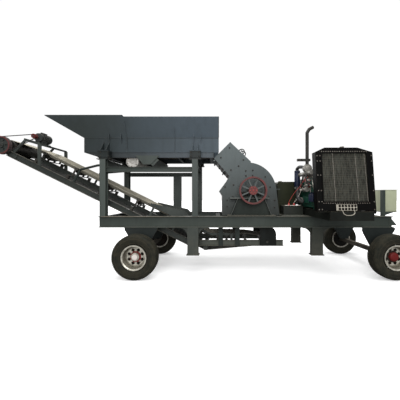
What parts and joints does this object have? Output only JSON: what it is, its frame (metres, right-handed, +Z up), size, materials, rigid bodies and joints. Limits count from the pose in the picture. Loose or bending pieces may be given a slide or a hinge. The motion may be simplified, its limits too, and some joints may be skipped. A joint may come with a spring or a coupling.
{
  "type": "mobile hammer crusher plant",
  "caption": "wheeled crushing plant with a vibrating feed hopper, hammer crusher, diesel engine with radiator and an inclined belt conveyor on a beam chassis",
  "frame": {"origin": "centre of the bounding box, on the ground under the wheels", "axes": "+X along the chassis from the feed hopper to the engine end, +Y to the far side with the belt guard, +Z up"},
  "size_m": [8.924, 2.59, 3.385],
  "materials": {
    "frame_paint": "dark grey-green satin paint, dusty",
    "hopper_paint": "dark blue-grey satin paint on plate",
    "crusher_paint": "mid grey paint on plate",
    "black_paint": "black satin paint",
    "red_paint": "faded red paint",
    "tyre_rubber": "dusty black tyre rubber",
    "rim_steel": "silver-grey rim paint",
    "worn_steel": "worn bare steel",
    "engine_paint": "dark green engine enamel",
    "cast_alloy": "grey cast metal",
    "core_metal": "finned radiator core, dark",
    "tank_paint": "olive drab paint",
    "cabinet_paint": "pale grey-green powder coat",
    "belt_rubber": "dusty belt rubber",
    "drive_belt_rubber": "black drive belt rubber",
    "cable_plastic": "pink cable insulation"
  },
  "bodies": {
    "plant": {"rails": "frame_paint", "crossmembers": "frame_paint", "deck_plate": "frame_paint", "support_legs": "frame_paint", "axles": "black_paint", "axle_brackets": "frame_paint", "spring_leaves": "black_paint", "hopper_posts": "frame_paint", "hopper_beams": "frame_paint", "feeder_springs": "black_paint", "spring_ears": "frame_paint", "trough_walls": "hopper_paint", "trough_frame": "black_paint", "trough_floor": "hopper_paint", "hopper_sides": "hopper_paint", "hopper_apron": "hopper_paint", "hopper_end_plate": "hopper_paint", "exciter_mount": "frame_paint", "exciter_motors": "worn_steel", "crusher_sides": "crusher_paint", "crusher_shell": "crusher_paint", "chute_plates": "crusher_paint", "bearing_pedestals": "frame_paint", "bearing_housings": "frame_paint", "belt_guard": "black_paint", "engine_skid": "black_paint", "engine_block": "engine_paint", "engine_top": "cast_alloy", "exhaust_pipe": "black_paint", "radiator_core": "core_metal", "radiator_frame": "black_paint", "battery_box": "tank_paint", "battery_cables": "cable_plastic", "fuel_tank": "tank_paint", "control_cabinet": "cabinet_paint", "cabinet_stand": "frame_paint", "conveyor_channels": "frame_paint", "conveyor_supports": "frame_paint", "conveyor_head": "frame_paint", "motor_stand": "frame_paint", "idlers": "black_paint", "conveyor_belt": "belt_rubber", "loading_skirts": "frame_paint", "conveyor_motor": "black_paint", "drive_belts": "drive_belt_rubber"},
    "wheel_rear_near": {"tyre_rear_near": "tyre_rubber", "rim_rear_near": "rim_steel"},
    "wheel_rear_far": {"tyre_rear_far": "tyre_rubber", "rim_rear_far": "rim_steel"},
    "wheel_front_near": {"tyre_front_near": "tyre_rubber", "rim_front_near": "rim_steel"},
    "wheel_front_far": {"tyre_front_far": "tyre_rubber", "rim_front_far": "rim_steel"},
    "rotor": {"hammer_rotor": "worn_steel", "flywheel": "red_paint", "drive_pulley": "black_paint"},
    "head_roll": {"head_drum": "worn_steel", "head_sheave": "red_paint"},
    "motor_wheel": {"motor_pulley": "red_paint"}
  },
  "joints": [
    {"name": "rear_near_wheel_spin", "type": "hinge", "parent": "plant", "child": "wheel_rear_near", "pos_m": [-1.12398, -0.7775, 0.45], "axis": [0, 1, 0], "continuous": true},
    {"name": "rear_far_wheel_spin", "type": "hinge", "parent": "plant", "child": "wheel_rear_far", "pos_m": [-1.12398, 1.1675, 0.45], "axis": [0, 1, 0], "continuous": true},
    {"name": "front_near_wheel_spin", "type": "hinge", "parent": "plant", "child": "wheel_front_near", "pos_m": [4.01102, -0.7775, 0.45], "axis": [0, 1, 0], "continuous": true},
    {"name": "front_far_wheel_spin", "type": "hinge", "parent": "plant", "child": "wheel_front_far", "pos_m": [4.01102, 1.1675, 0.45], "axis": [0, 1, 0], "continuous": true},
    {"name": "rotor_spin", "type": "hinge", "parent": "plant", "child": "rotor", "pos_m": [1.27202, 0.195, 1.777], "axis": [0, 1, 0], "continuous": true},
    {"name": "head_roll_spin", "type": "hinge", "parent": "plant", "child": "head_roll", "pos_m": [-4.26202, 0.195, 2.78195], "axis": [0, 1, 0], "continuous": true},
    {"name": "motor_wheel_spin", "type": "hinge", "parent": "plant", "child": "motor_wheel", "pos_m": [-3.53702, 0.195, 2.98195], "axis": [0, 1, 0], "continuous": true}
  ],
  "couplings": [
    {"joint": "motor_wheel_spin", "follows": "head_roll_spin", "ratio": 4}
  ]
}
